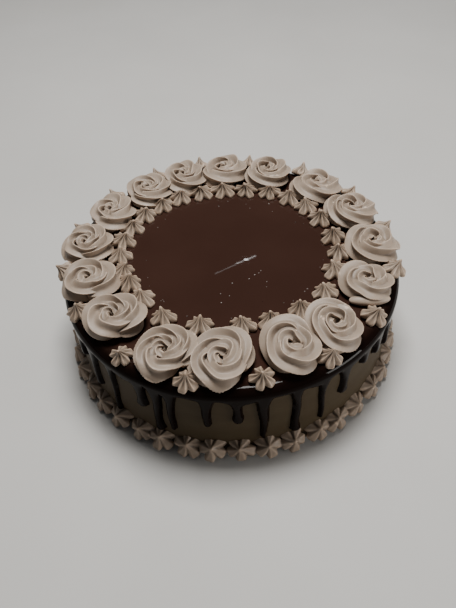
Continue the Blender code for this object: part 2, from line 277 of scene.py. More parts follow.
# The form of a star. Each ring: share of its radius, share of its height, width of a petal and
# how far the petal is cupped along its middle
STAR_PETALS = 5
STAR_SIDES = 100
STAR_NOMINAL_RADIUS = 7.4
STAR_TWIST = math.radians(12.0)
PETAL_LENGTHS = (0.86, 1.06)
PETAL_ROUNDING = 5.0
CUP_WIDTH = 0.42                # half width of the cup, as a share of the petal's width
TIP_BEND = 2.5                  # power by which a lean grows towards the tip
STAR_RINGS = (
    (0.92, 0.00, 4.6, 0.00), (1.03, 0.10, 5.0, 0.05), (1.05, 0.20, 5.0, 0.14), (1.00, 0.30, 4.6, 0.25),
    (0.86, 0.38, 3.9, 0.33), (0.67, 0.46, 2.9, 0.33), (0.47, 0.55, 2.0, 0.25), (0.32, 0.65, 1.5, 0.16),
    (0.20, 0.77, 1.1, 0.08), (0.13, 0.88, 0.85, 0.04), (0.07, 0.97, 0.55, 0.00),
)

# Border of flowers round the foot, leaning outward by a tilt in degrees
BORDER_FLOWERS = 42
BORDER_RADIUS = 8.3
BORDER_HEIGHT = 6.6
BORDER_TILT = 48.0
BORDER_SEAT = (91.0, 6.6)       # distance from the axis and height of a flower's underside
BORDER_RINGS = (
    (0.92, 0.00, 5.2, 0.00), (1.02, 0.10, 5.7, 0.03), (1.02, 0.22, 5.4, 0.07), (0.94, 0.34, 4.6, 0.10),
    (0.80, 0.45, 3.8, 0.12), (0.62, 0.55, 2.9, 0.13), (0.45, 0.64, 2.2, 0.12), (0.30, 0.74, 1.6, 0.08),
    (0.18, 0.85, 1.1, 0.04), (0.09, 0.95, 0.7, 0.00),
)
# Ranges of a flower's place along the border as a share of its step, tilt, height, tip, size, seat
BORDER_SHIFT = (-0.06, 0.06)
BORDER_TILTS = (-6.0, 6.0)
BORDER_HEIGHTS = (0.9, 1.1)
BORDER_TIP = (-0.7, 0.7)
BORDER_SIZES = (0.96, 1.03)
BORDER_SEATS = (-0.4, 0.4)
BORDER_SEED = 5
BORDER_VOXEL = 0.32
BORDER_SMOOTHING = 1
BORDER_KEPT_FACES = 0.29


def direction(azimuth):
    angle = math.radians(azimuth)
    return np.array((math.cos(angle), math.sin(angle)))


def smoothstep(value):
    value = np.clip(value, 0.0, 1.0)
    return value * value * (3.0 - 2.0 * value)


def eased(t, start, length):
    """Rises smoothly from 0 at start to 1 a length later."""
    return smoothstep((t - start) / length)


def around_circle(count):
    """Even angles round a full circle."""
    return np.arange(count) * FULL_TURN / count


def new_object(name, vertices, faces):
    data = bpy.data.meshes.new(name)
    data.from_pydata((np.asarray(vertices) * MM).tolist(), [], faces)
    data.validate()
    obj = bpy.data.objects.new(name, data)
    bpy.context.scene.collection.objects.link(obj)
    return obj


def finish_piece(obj, material, slot, *nodes):
    obj.data.materials.clear()
    obj.data.materials.append(material)
    obj.data.shade_smooth()
    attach(obj, "root")
    if nodes:
        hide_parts(*nodes)


def ring_faces(rings, sides):
    """Faces between rings of points, with a fan to a tip point at both ends.

    Points are numbered ring by ring. The two tip points follow the last ring.
    """
    faces = []
    for k in range(rings - 1):
        low, high = k * sides, (k + 1) * sides
        for i in range(sides):
            j = (i + 1) % sides
            faces.append((low + i, low + j, high + j, high + i))
    start, end = rings * sides, rings * sides + 1
    last = (rings - 1) * sides
    for i in range(sides):
        j = (i + 1) % sides
        faces.append((start, j, i))
        faces.append((end, last + i, last + j))
    return faces


def ellipsoid(middle, half_sizes, rings, sides):
    """Points and faces of an egg shape, with its axes along X, Y and Z."""
    around = around_circle(sides)
    points = []
    for rise in np.radians(np.linspace(-90.0, 90.0, rings + 2)[1:-1]):
        level = np.full(sides, math.sin(rise))
        points.append(np.c_[np.cos(rise) * np.cos(around), np.cos(rise) * np.sin(around), level])
    points.append(np.array([(0.0, 0.0, -1.0), (0.0, 0.0, 1.0)]))
    return np.vstack(points) * half_sizes + middle, ring_faces(rings, sides)


def remeshed(obj, voxel, smoothing, ratio):
    """Joins what crosses itself in the mesh into one skin, smooths it and thins it out."""
    join = obj.modifiers.new("join", "REMESH")
    join.mode = "VOXEL"
    join.voxel_size = voxel * MM
    join.adaptivity = 0.0
    smooth = obj.modifiers.new("smooth", "SMOOTH")
    smooth.factor = 0.5
    smooth.iterations = smoothing
    thin = obj.modifiers.new("thin", "DECIMATE")
    thin.ratio = ratio
    graph = bpy.context.evaluated_depsgraph_get()
    data = bpy.data.meshes.new_from_object(obj.evaluated_get(graph))
    old = obj.data
    obj.modifiers.clear()
    obj.data = data
    bpy.data.meshes.remove(old)


def shoulder_fall(radius):
    """How far the glazed surface lies below the flat top at a distance from the axis."""
    over = np.clip(radius - (GLAZE_RADIUS - SHOULDER), 0.0, SHOULDER * SHOULDER_REACH)
    return SHOULDER - np.sqrt(SHOULDER ** 2 - over ** 2)


# Parts of materials

def material_base(name):
    material = bpy.data.materials.new(name)
    material.use_nodes = True
    nodes = material.node_tree.nodes
    links = material.node_tree.links
    return material, nodes, links, nodes["Principled BSDF"]


def object_noise(nodes, links, scale, detail, roughness=0.5, squash=None):
    coordinates = nodes.new("ShaderNodeTexCoord")
    noise = nodes.new("ShaderNodeTexNoise")
    noise.inputs["Scale"].default_value = scale
    noise.inputs["Detail"].default_value = detail
    noise.inputs["Roughness"].default_value = roughness
    source = coordinates.outputs["Object"]
    if squash:
        mapping = nodes.new("ShaderNodeMapping")
        mapping.inputs["Scale"].default_value = squash
        links.new(source, mapping.inputs["Vector"])
        source = mapping.outputs["Vector"]
    links.new(source, noise.inputs["Vector"])
    return noise.outputs["Fac"]


def ramp(nodes, links, source, low, high, first, second):
    """A colour that runs from first to second while the source runs from low to high."""
    mix = nodes.new("ShaderNodeValToRGB")
    mix.color_ramp.elements[0].position = low
    mix.color_ramp.elements[0].color = (*first, 1.0)
    mix.color_ramp.elements[1].position = high
    mix.color_ramp.elements[1].color = (*second, 1.0)
    links.new(source, mix.inputs["Fac"])
    return mix.outputs["Color"]


def ranged(nodes, links, source, low, high, start=0.0, end=1.0):
    """A value that runs from low to high while the source runs from start to end."""
    node = nodes.new("ShaderNodeMapRange")
    node.inputs["From Min"].default_value = start
    node.inputs["From Max"].default_value = end
    node.inputs["To Min"].default_value = low
    node.inputs["To Max"].default_value = high
    links.new(source, node.inputs["Value"])
    return node.outputs["Result"]


def scaled(nodes, links, colour, factor):
    """A colour made darker or paler by a factor."""
    node = nodes.new("ShaderNodeVectorMath")
    node.operation = "SCALE"
    links.new(colour, node.inputs[0])
    links.new(factor, node.inputs["Scale"])
    return node.outputs["Vector"]


def add_relief(nodes, links, shader, height, strength, distance):
    """Gives a shader's surface a fine relief. The distance is in metres."""
    bump = nodes.new("ShaderNodeBump")
    bump.inputs["Strength"].default_value = strength
    bump.inputs["Distance"].default_value = distance
    links.new(height, bump.inputs["Height"])
    links.new(bump.outputs["Normal"], shader.inputs["Normal"])


# Materials

def cream_material(name, shade, light, roughness):
    """Piped cream: two close colours in soft patches, painted shade in grooves and painted highlight on
    crests, fine grain.
    """
    material, nodes, links, shader = material_base(name)
    patches = object_noise(nodes, links, 90.0, 3.0)
    colour = ramp(nodes, links, patches, 0.35, 0.65, shade, light)
    # Painted shade in the grooves and painted highlight on the crests, by the surface's pointiness
    geometry = nodes.new("ShaderNodeNewGeometry")
    painted_crease_light = ranged(nodes, links, geometry.outputs["Pointiness"], *PAINTED_SHADE_AND_HIGHLIGHT, *PAINTED_SHADE_POINTINESS)
    links.new(scaled(nodes, links, colour, painted_crease_light), shader.inputs["Base Color"])
    shader.inputs["Subsurface Weight"].default_value = 0.12
    shader.inputs["Subsurface Radius"].default_value = (1.0, 0.7, 0.5)
    shader.inputs["Subsurface Scale"].default_value = 0.0015
    shader.inputs["Specular IOR Level"].default_value = 0.4
    grain = object_noise(nodes, links, 900.0, 4.0, 0.6)
    dull = ranged(nodes, links, grain, roughness - 0.07, roughness + 0.08)
    links.new(dull, shader.inputs["Roughness"])
    add_relief(nodes, links, shader, grain, 0.22, 0.0004)
    return material


def glaze_material(name, specular):
    """Poured chocolate: glossy, with faint clouds, and painted shade that makes it near black on the
    shoulder and in the drips.
    """
    material, nodes, links, shader = material_base(name)
    clouds = object_noise(nodes, links, 25.0, 4.0)
    colour = ramp(nodes, links, clouds, 0.35, 0.68, (0.033, 0.0155, 0.0110), (0.038, 0.0180, 0.0130))
    # Painted shade: the colour darkens from the flat top out over the shoulder and down the drips
    place = nodes.new("ShaderNodeTexCoord")
    flat = nodes.new("ShaderNodeVectorMath")
    flat.operation = "MULTIPLY"
    flat.inputs[1].default_value = (1.0, 1.0, 0.0)
    links.new(place.outputs["Object"], flat.inputs[0])
    away = nodes.new("ShaderNodeVectorMath")
    away.operation = "LENGTH"
    links.new(flat.outputs["Vector"], away.inputs[0])
    start, end = (distance * MM for distance in PAINTED_SHADE_RADII)
    painted_shade = ranged(nodes, links, away.outputs["Value"], 1.0, PAINTED_SHADE_SHARE, start, end)
    links.new(scaled(nodes, links, colour, painted_shade), shader.inputs["Base Color"])
    links.new(ranged(nodes, links, clouds, 0.012, 0.028), shader.inputs["Roughness"])
    shader.inputs["Specular IOR Level"].default_value = specular
    ripples = object_noise(nodes, links, 160.0, 2.0)
    add_relief(nodes, links, shader, ripples, 0.004, 0.001)
    return material


def bubble_material():
    """Bubbles in the glaze: some pale, as a painted glint, the others the glaze's own dark colour."""
    material, nodes, links, shader = material_base("glaze_bubble_painted_glint")
    painted_glint = object_noise(nodes, links, 60.0, 1.0)
    # Painted glint: pale patches on the bubbles stand in for the glints of light on them
    colour = ramp(nodes, links, painted_glint, 0.4, 0.62, (0.03, 0.015, 0.012), (0.34, 0.30, 0.28))
    links.new(colour, shader.inputs["Base Color"])
    shader.inputs["Roughness"].default_value = 0.12
    return material


def frosting_material():
    """Side frosting: matt, spread level, with fine streaks round the cake and small pores, its colour
    darkened as painted shade.
    """
    material, nodes, links, shader = material_base("side_frosting_painted_shade")
    streaks = object_noise(nodes, links, 45.0, 3.0, 0.5, (1.0, 1.0, 3.0))
    # Painted shade: the frosting's colour is made very dark for the shade that falls on the wall under
    # the glaze and roses
    colour = ramp(nodes, links, streaks, 0.3, 0.7, (0.052, 0.035, 0.017), (0.060, 0.042, 0.022))
    links.new(colour, shader.inputs["Base Color"])
    shader.inputs["Roughness"].default_value = 0.62
    shader.inputs["Specular IOR Level"].default_value = 0.15
    pores = object_noise(nodes, links, 700.0, 3.0, 0.7)
    blend = nodes.new("ShaderNodeMath")
    blend.operation = "MULTIPLY_ADD"
    blend.inputs[1].default_value = 0.8
    links.new(pores, blend.inputs[0])
    links.new(streaks, blend.inputs[2])
    add_relief(nodes, links, shader, blend.outputs["Value"], 0.15, 0.0005)
    return material


def floor_material():
    material, nodes, links, shader = material_base("pale_floor")
    clouds = object_noise(nodes, links, 8.0, 3.0)
    colour = ramp(nodes, links, clouds, 0.3, 0.7, (0.56, 0.55, 0.53), (0.60, 0.59, 0.57))
    links.new(colour, shader.inputs["Base Color"])
    shader.inputs["Roughness"].default_value = 0.7
    return material


# Frosted body

def build_body(material):
    """The frosted wall, spread by hand, so it is a little uneven."""
    edge, bevel = BODY_EDGE_STEPS
    wall = np.linspace(edge, BODY_TOP - edge, BODY_ROWS)
    heights = np.concatenate(([0.0, bevel], wall, [BODY_TOP - bevel, BODY_TOP]))
    inset = np.zeros(len(heights))
    inset[[0, -1]] = edge
    inset[[1, -2]] = bevel
    rng = random.Random(BODY_SEED)
    waves = []
    for _ in range(BODY_WAVES):
        count, phase = rng.randint(*BODY_WAVE_COUNTS), rng.uniform(*PHASES)
        size, twist = rng.uniform(*BODY_WAVE_SIZES), rng.uniform(*BODY_WAVE_TWISTS)
        waves.append((count, phase, size, twist))
    angles = around_circle(BODY_SIDES)
    points = []
    for height, inward in zip(heights, inset):
        swell = sum(
            size * np.cos(count * angles + phase + twist * height) for count, phase, size, twist in waves
        )
        radius = WALL_RADIUS - BODY_INSET - inward + BODY_WAVINESS * swell
        level = np.full(BODY_SIDES, height)
        points.append(np.c_[radius * np.cos(angles), radius * np.sin(angles), level])
    vertices = np.vstack(points + [[(0.0, 0.0, 0.0)], [(0.0, 0.0, BODY_TOP)]])
    obj = new_object("frosted_body", vertices, ring_faces(len(heights), BODY_SIDES))
    finish_piece(obj, material, "frosting", "cake_body")


# Glaze

def all_drips():
    """The drips that the photograph shows, then drips of like sizes round the rest."""
    rng = random.Random(DRIP_SEED)
    drips = list(DRIPS)
    azimuth = DRIPS[-1][0] + FAR_DRIP_MARGINS[0]
    last = DRIPS[0][0] + 360.0 - FAR_DRIP_MARGINS[1]
    while azimuth < last:
        tip = rng.uniform(*FAR_DRIP_TIPS)
        half_width = rng.uniform(*FAR_DRIP_HALF_WIDTHS)
        drips.append((azimuth, tip, half_width, rng.uniform(*FAR_DRIP_SHARES)))
        azimuth += rng.uniform(*FAR_DRIP_STEPS)
    return drips


def glaze_distance(angles, heights):
    """Signed distance on the unrolled wall to the edge of the glaze, below zero inside it."""
    around = np.degrees(angles)[:, None]
    level = heights[None, :]
    rng = random.Random(BAND_SEED)
    edge = BAND_EDGE
    for count in BAND_WAVES:
        edge = edge + BAND_WAVE_SIZE * np.cos(count * angles + rng.uniform(*PHASES))[:, None]
    total = np.exp((level - edge) / DRIP_BLEND)
    for azimuth, tip, half_width, share in all_drips():
        across = (around - azimuth + 180.0) % 360.0 - 180.0
        near = np.abs(across[:, 0]) < DRIP_SPAN
        side = np.radians(across[near]) * GLAZE_RADIUS
        rise = (level - tip) / (CAKE_TOP - tip)
        width = half_width * (share + (1.0 - share) * smoothstep(rise * DRIP_WIDENING))
        full = share > BULB_FROM
        bulb = BULB_SIZE * half_width * np.exp(-((level - tip - half_width) / BULB_HEIGHT) ** 2)
        width = width + bulb * full + ROOT_WIDTH * eased(level, ROOT_START, ROOT_HEIGHT)
        centre = tip + half_width * (share + BULB_SIZE * full)
        wobble = DRIP_WOBBLE * np.sin(level * DRIP_WOBBLE_RATE + azimuth)
        reach = np.sqrt((side - wobble) ** 2 + np.minimum(level - centre, 0.0) ** 2)
        total[near] += np.exp((width - reach) / DRIP_BLEND)
    return -DRIP_BLEND * np.log(total)


def glaze_wall(angles, heights):
    """Azimuth, radius and height of each point of the glazed wall.

    The skin is rounded where it meets the frosting. Points near that edge are moved onto it, so
    the edge is even, and points beyond it lie just under the frosting.
    """
    depth = -glaze_distance(angles, heights)
    step_x = GLAZE_RADIUS * (angles[1] - angles[0])
    step_z = heights[1] - heights[0]
    slope_x = (np.roll(depth, -1, axis=0) - np.roll(depth, 1, axis=0)) / (2.0 * step_x)
    slope_z = np.gradient(depth, step_z, axis=1)
    steep = np.maximum(slope_x ** 2 + slope_z ** 2, FLATTEST_SLOPE)
    near = np.abs(depth) / np.sqrt(steep) < 0.5 * max(step_x, step_z)
    near[:, [0, -1]] = False
    shift = np.where(near, -depth / steep, 0.0)
    turn = angles[:, None] + shift * slope_x / GLAZE_RADIUS
    level = heights[None, :] + shift * slope_z
    share = np.clip(depth / DRIP_ROUNDING, 0.0, 1.0)
    rise = np.clip((level - SKIN_THICKENS[0]) / SKIN_THICKENS[1], 0.0, 1.0)
    thickness = LOWER_SKIN + (1.0 - LOWER_SKIN) * rise
    skin = (GLAZE_RADIUS - WALL_RADIUS) * np.sqrt(1.0 - (1.0 - share) ** 2) * thickness
    skin = np.where(near, EDGE_SKIN, np.where(depth > 0.0, skin, -HIDDEN_DEPTH))
    return turn, WALL_RADIUS + skin, level


class RingMesh:
    """Points and faces gathered ring by ring round the cake's axis."""

    def __init__(self, angles):
        self.angles = angles
        self.points = []
        self.faces = []

    def add(self, radius, height, step=1, angles=None):
        """Adds a ring on every step-th angle, or on angles of its own. Gives its first index."""
        around = self.angles[::step] if angles is None else angles
        start = sum(len(ring) for ring in self.points)
        radii = np.broadcast_to(radius, around.shape)
        heights = np.broadcast_to(height, around.shape)
        self.points.append(np.c_[radii * np.cos(around), radii * np.sin(around), heights])
        return start

    def join(self, low, high, step=1):
        count = len(self.angles) // step
        for i in range(count):
            j = (i + 1) % count
            self.faces.append((low + i, low + j, high + j, high + i))

    def join_halved(self, outer, inner, step, upward=True):
        """Joins a ring of every step-th angle to one inside it with half as many points."""
        count = len(self.angles) // step
        for i in range(count // 2):
            a, b, c = outer + 2 * i, outer + 2 * i + 1, outer + (2 * i + 2) % count
            d, e = inner + (i + 1) % (count // 2), inner + i
            self.faces.append((a, b, c, d, e) if upward else (e, d, c, b, a))

    def cap(self, start, step, upward=True):
        corners = range(start, start + len(self.angles) // step)
        self.faces.append(tuple(corners if upward else reversed(corners)))


def glaze_side(mesh):
    """Wall and drips, with a back under the frosting. Gives the top rings of front and back."""
    angles = mesh.angles
    heights = np.linspace(GLAZE_LOWEST, CAKE_TOP - SHOULDER, GLAZE_ROWS)
    turn, wall, level = glaze_wall(angles, heights)
    hidden = WALL_RADIUS - HIDDEN_DEPTH
    bare = wall <= hidden + TINY
    back = [mesh.add(hidden, height) for height in heights]
    front = [mesh.add(wall[:, k], level[:, k], angles=turn[:, k]) for k in range(GLAZE_ROWS)]
    for k in range(GLAZE_ROWS - 1):
        for i in range(GLAZE_COLUMNS):
            j = (i + 1) % GLAZE_COLUMNS
            corners = ((i, k), (j, k), (j, k + 1), (i, k + 1))
            if all(bare[corner] for corner in corners):
                continue
            mesh.faces.append(tuple((back if bare[i, k] else front)[k] + i for i, k in corners))
            mesh.faces.append(tuple(back[k] + i for i, k in reversed(corners)))
    return front[-1], back[-1]


def glaze_top(mesh, last):
    """Shoulder and flat top, with faint ripples, from the wall's last ring inward."""
    rng = random.Random(RIPPLE_SEED)
    ripples = []
    for _ in range(RIPPLES):
        along_x = rng.uniform(-RIPPLE_STEEPNESS, RIPPLE_STEEPNESS)
        along_y = rng.uniform(-RIPPLE_STEEPNESS, RIPPLE_STEEPNESS)
        ripples.append((along_x, along_y, rng.uniform(*PHASES)))

    def unevenness(radius, step=1):
        x, y = radius * np.cos(mesh.angles[::step]), radius * np.sin(mesh.angles[::step])
        return sum(np.cos(a * x + b * y + phase) for a, b, phase in ripples) * RIPPLE_SIZE

    for angle in np.radians(SHOULDER_ANGLES):
        radius = GLAZE_RADIUS - SHOULDER + SHOULDER * math.cos(angle)
        height = CAKE_TOP - SHOULDER + SHOULDER * math.sin(angle)
        ring = mesh.add(radius, height + unevenness(radius) * math.sin(angle))
        mesh.join(last, ring)
        last = ring
    for radius in UNDER_ROSES:
        ring = mesh.add(radius, CAKE_TOP + unevenness(radius))
        mesh.join(last, ring)
        last = ring
    step = 1
    for radius in THINNING_RADII:
        ring = mesh.add(radius, CAKE_TOP + unevenness(radius, step * 2), step * 2)
        mesh.join_halved(last, ring, step)
        step *= 2
        last = ring
    for radius in OPEN_RADII:
        ring = mesh.add(radius, CAKE_TOP + unevenness(radius, step), step)
        mesh.join(last, ring, step)
        last = ring
    mesh.cap(last, step)


def glaze_underside(mesh, last):
    """Closes the glaze's back under its top, where the frosted body hides it."""
    ring = mesh.add(WALL_RADIUS - HIDDEN_DEPTH, UNDERSIDE)
    mesh.join(ring, last)
    step = 1
    for radius in UNDERSIDE_RADII:
        inner = mesh.add(radius, UNDERSIDE, step * 2)
        mesh.join_halved(ring, inner, step, upward=False)
        step *= 2
        ring = inner
    mesh.cap(ring, step, upward=False)


def clean_loose(obj):
    """Removes points that no face uses."""
    mesh = bmesh.new()
    mesh.from_mesh(obj.data)
    loose = [vertex for vertex in mesh.verts if not vertex.link_faces]
    bmesh.ops.delete(mesh, geom=loose, context="VERTS")
    mesh.to_mesh(obj.data)
    mesh.free()


def build_glaze(top_material, side_material):
    """A thin skin: over the top, round the shoulder and down the wall in drips."""
    mesh = RingMesh(around_circle(GLAZE_COLUMNS))
    front, back = glaze_side(mesh)
    glaze_top(mesh, front)
    glaze_underside(mesh, back)
    obj = new_object("glaze", np.vstack(mesh.points), mesh.faces)
    clean_loose(obj)
    finish_piece(obj, top_material, "glaze", "ganache")
    obj.data.materials.append(side_material)
    for face in obj.data.polygons:
        face.material_index = int(face.center.z < GLAZE_SIDE_TOP * MM)


def build_bubbles(material):
    """Small bubbles that stand out of the flat glaze."""
    rng = random.Random(BUBBLE_SEED)
    points, faces, start = [], [], 0
    for i in range(BUBBLES):
        azimuths, distances = BY_STARS if i % 3 else IN_FRONT
        azimuth = rng.uniform(*azimuths)
        distance = rng.uniform(*distances)
        radius = rng.uniform(*BUBBLE_RADII)
        middle = (*(direction(azimuth) * distance), CAKE_TOP)
        bubble, parts = ellipsoid(middle, (radius, radius, radius), *BUBBLE_DETAIL)
        points.append(bubble)
        faces.extend(tuple(start + v for v in part) for part in parts)
        start += len(bubble)
    obj = new_object("glaze_bubbles", np.vstack(points), faces)
    finish_piece(obj, material, "glaze")


# Roses

def rope_section(angle, phase, groove, crests):
    """Distance of a star rope's skin from its middle, as a share: thin crests, hollow grooves."""
    wave = np.abs(np.sin(0.5 * crests * (angle - phase)))
    wave = np.sqrt(wave ** 2 + ROPE_CREST_ROUNDING ** 2) - ROPE_CREST_ROUNDING
    return 1.0 - groove * wave ** ROPE_GROOVE_POWER


def hand_waver(angle, sizes, rng):
    """A few slow waves along a rope, as a hand makes that pipes it."""
    return sum(size * np.sin(count * angle + rng.uniform(0.0, FULL_TURN)) for count, size in sizes)


def rope_mesh(radius, turns, tail, crests, rng, hand):
    """A star rope that swirls outward, clockwise seen from above. Local +X is outward.

    Its crests lag behind the rope's turning, so they cross from the rim over the top.
    """
    phase = rng.uniform(0.0, FULL_TURN)
    swing = rng.uniform(*ROPE_SWINGS)
    groove = rng.uniform(*ROPE_GROOVES)
    eye = rng.uniform(*ROPE_EYES)
    scale = radius / ROSE_NOMINAL_RADIUS
    t = np.linspace(0.0, 1.0, ROPE_STEPS)
    swirl = math.radians(tail) + FULL_TURN * turns * (1.0 - t)
    past_eye = eased(t, *ROPE_PAST_EYE)
    leave = eased(t, *ROPE_LEAVES)

    outer = radius - ROPE_RADII[1] * scale + ROPE_OVERHANG
    distance = eye + (outer - eye) * np.minimum(t / ROPE_REACHES_RIM, 1.0) ** ROPE_SPREAD
    distance = distance + ROPE_TAIL_PUSH * eased(t, *ROPE_PUSHES_OUT) - ROPE_TAIL_TUCK * leave
    distance = distance + past_eye * hand_waver(swirl, WAVER_OUT, hand)
    sink = (ROPE_HEIGHTS[1] - ROPE_HEIGHTS[0]) * eased(t, *ROPE_SINKS)
    level = ROPE_HEIGHTS[0] + sink - ROPE_TAIL_SINK * leave
    level = level + past_eye * hand_waver(swirl, WAVER_UP, hand)
    middle = np.c_[distance * np.cos(swirl), distance * np.sin(swirl), level]

    size = ROPE_RADII[0] + (ROPE_RADII[1] - ROPE_RADII[0]) * eased(t, *ROPE_THICKENS)
    taper = np.sqrt(1.0 - np.clip((t - ROPE_LEAVES[0]) / ROPE_LEAVES[1], 0.0, 1.0) ** 2)
    start = np.sqrt(np.clip(t / ROPE_START, 0.0, 1.0))
    least_start, least_end = ROPE_END_SIZES
    size = size * scale * np.clip(taper, least_end, 1.0) * np.clip(start, least_start, 1.0)

    angle = around_circle(ROPE_SIDES)
    deepened = ROPE_EYE_GROOVE + (1.0 - ROPE_EYE_GROOVE) * eased(t, *ROPE_GROOVES_DEEPEN)
    depth = (groove * deepened)[:, None]
    lopsided = hand.uniform(0.0, FULL_TURN)
    uneven = np.cos(angle[None, :] + swing * swirl[:, None] - lopsided)
    depth = depth * (1.0 + WAVER_DEPTH * past_eye[:, None] * uneven)
    section = rope_section(angle[None, :], (phase - swing * swirl)[:, None], depth, crests)
    reach = size[:, None] * section

    along = np.gradient(middle, axis=0)
    along /= np.linalg.norm(along, axis=1)[:, None]
    outward = np.cross((0.0, 0.0, 1.0), along)
    outward /= np.linalg.norm(outward, axis=1)[:, None]
    upward = np.cross(along, outward)
    points = (middle[:, None, :]
              + (reach * np.cos(angle))[:, :, None] * outward[:, None, :]
              + (reach * np.sin(angle))[:, :, None] * upward[:, None, :])
    ends = np.array([middle[0], middle[-1]])
    return np.vstack([points.reshape(-1, 3), ends]), ring_faces(ROPE_STEPS, ROPE_SIDES)


def placed_rose(points, azimuth, distance, rise, lean, stretch):
    """A rose's points, leaned and moved to its place, and settled on the glaze."""
    lean = math.radians(lean)
    out, up = points[:, 0] * stretch, points[:, 2] * rise - ROSE_PIVOT
    across = points[:, 1]
    away = out * math.cos(lean) + up * math.sin(lean)
    level = ROSE_PIVOT + up * math.cos(lean) - out * math.sin(lean)
    outward = direction(azimuth)
    centre = outward * distance
    placed = np.empty_like(points)
    placed[:, 0] = centre[0] + outward[0] * away - outward[1] * across
    placed[:, 1] = centre[1] + outward[1] * away + outward[0] * across
    placed[:, 2] = CAKE_TOP + level
    reach = np.hypot(placed[:, 0], placed[:, 1])
    fall = shoulder_fall(reach)
    placed[:, 2] -= ROSE_SETTLE * fall * eased(reach, ROSE_SETTLE_START, ROSE_SETTLE_LENGTH)
    placed[:, 2] = np.maximum(placed[:, 2], CAKE_TOP - fall + ROSE_SEAT)
    return placed


def build_rose(index, spec, rng, material):
    azimuth, distance, radius, turns, tail, rise, crests, lean, stretch = spec
    hand = random.Random(HAND_SEED + index)
    points, faces = rope_mesh(radius, turns, tail, crests, rng, hand)
    points = placed_rose(points, azimuth, distance, rise, lean, stretch)
    if index == PRESSED_ROSE:
        fold, parts = ellipsoid(PRESSED_FOLD, PRESSED_FOLD_SIZE, *PRESSED_FOLD_DETAIL)
        faces = faces + [tuple(len(points) + v for v in part) for part in parts]
        points = np.vstack([points, fold])
    obj = new_object(f"piped_rose_{index + 1:02d}", points, faces)
    remeshed(obj, ROSE_VOXEL, ROSE_SMOOTHING, ROSE_KEPT_FACES)
    finish_piece(obj, material, "rose_cream", f"rose_{index + 1:02d}")


# Stars and border

def star_points(radius, height, rng, rings, lean):
    """Points of a piped star, ring by ring, then its underside's middle and its tip.

    A ring is the outline of five petals, rounded at their ends. A petal is cupped along its
    middle, so it stands between two rims, and narrow slits part the petals.
    """
    angle = around_circle(STAR_SIDES)
    spacing = FULL_TURN / STAR_PETALS
    start = rng.uniform(0.0, FULL_TURN)
    across = np.sin(np.abs((angle - start + spacing / 2.0) % spacing - spacing / 2.0))
    petal = np.floor((angle - start) / spacing + 0.5).astype(int) % STAR_PETALS
    length = np.array([rng.uniform(*PETAL_LENGTHS) for _ in range(STAR_PETALS)])[petal]
    points = []
    for share, level, width, cup in rings:
        side = 0.5 * width * radius / STAR_NOMINAL_RADIUS / np.maximum(across, TINY)
        end = radius * share * length
        reach = (end ** -PETAL_ROUNDING + side ** -PETAL_ROUNDING) ** (-1.0 / PETAL_ROUNDING)
        cup_side = CUP_WIDTH * width * radius / STAR_NOMINAL_RADIUS
        middle = np.clip(1.0 - (across * end / cup_side) ** 2, 0.0, 1.0)
        reach = reach * (1.0 - cup * middle)
        turn = angle + STAR_TWIST * level
        bend = level ** TIP_BEND
        x = reach * np.cos(turn) + lean[0] * bend
        y = reach * np.sin(turn) + lean[1] * bend
        points.append(np.c_[x, y, np.full(STAR_SIDES, height * level)])
    points.append(np.array([(0.0, 0.0, 0.0), (lean[0], lean[1], height)]))
    return np.vstack(points), ring_faces(len(rings), STAR_SIDES)


def placed_on(points, base, axis):
    """Points turned so that their +Z follows axis, and moved to base."""
    turn = Vector((0.0, 0.0, 1.0)).rotation_difference(Vector(axis)).to_matrix()
    return points @ np.array(turn).T + np.array(base)


def build_inner_stars(material, rng):
    for i, (azimuth, distance) in enumerate(INNER_STARS):
        inward = -direction(azimuth)
        sideways = direction(azimuth + 90.0)
        lean = inward * rng.uniform(*TIP_INWARD) + sideways * rng.uniform(*TIP_SIDEWAYS)
        height = STAR_HEIGHT * rng.uniform(*INNER_STAR_HEIGHTS)
        radius = INNER_STAR_RADIUS * rng.uniform(*STAR_SIZES)
        points, faces = star_points(radius, height, rng, STAR_RINGS, lean)
        axis = (*(inward * INNER_STAR_TILT), 1.0)
        points = placed_on(points, (*(direction(azimuth) * distance), CAKE_TOP), axis)
        points[:, 2] = np.maximum(points[:, 2], CAKE_TOP + INNER_STAR_SEAT)
        obj = new_object(f"piped_inner_star_{i + 1:02d}", points, faces)
        finish_piece(obj, material, "star_cream", f"inner_star_{i + 1:02d}")


def build_outer_stars(material, rng):
    """One star in each gap between two roses, leaning outward on the shoulder."""
    centres = [direction(spec[0]) * spec[1] for spec in ROSES]
    for i, (first, second) in enumerate(zip(centres, centres[1:] + centres[:1])):
        middle = (first + second) / 2.0
        outward = middle / np.linalg.norm(middle)
        reach = min(np.linalg.norm(middle) + OUTER_STAR_STEP, OUTER_STAR_LIMIT)
        slope = math.asin(max(reach - (GLAZE_RADIUS - SHOULDER), 0.0) / SHOULDER)
        tilt = slope + OUTER_STAR_LEAN
        height = STAR_HEIGHT * rng.uniform(*OUTER_STAR_HEIGHTS)
        radius = OUTER_STAR_RADIUS * rng.uniform(*STAR_SIZES)
        lean = (rng.uniform(*OUTER_TIP), rng.uniform(*OUTER_TIP))
        points, faces = star_points(radius, height, rng, STAR_RINGS, lean)
        base = (*(outward * reach), CAKE_TOP - shoulder_fall(reach))
        axis = (*(outward * math.sin(tilt)), math.cos(tilt))
        obj = new_object(f"piped_outer_star_{i + 1:02d}", placed_on(points, base, axis), faces)
        finish_piece(obj, material, "star_cream", f"outer_star_{i + 1:02d}")


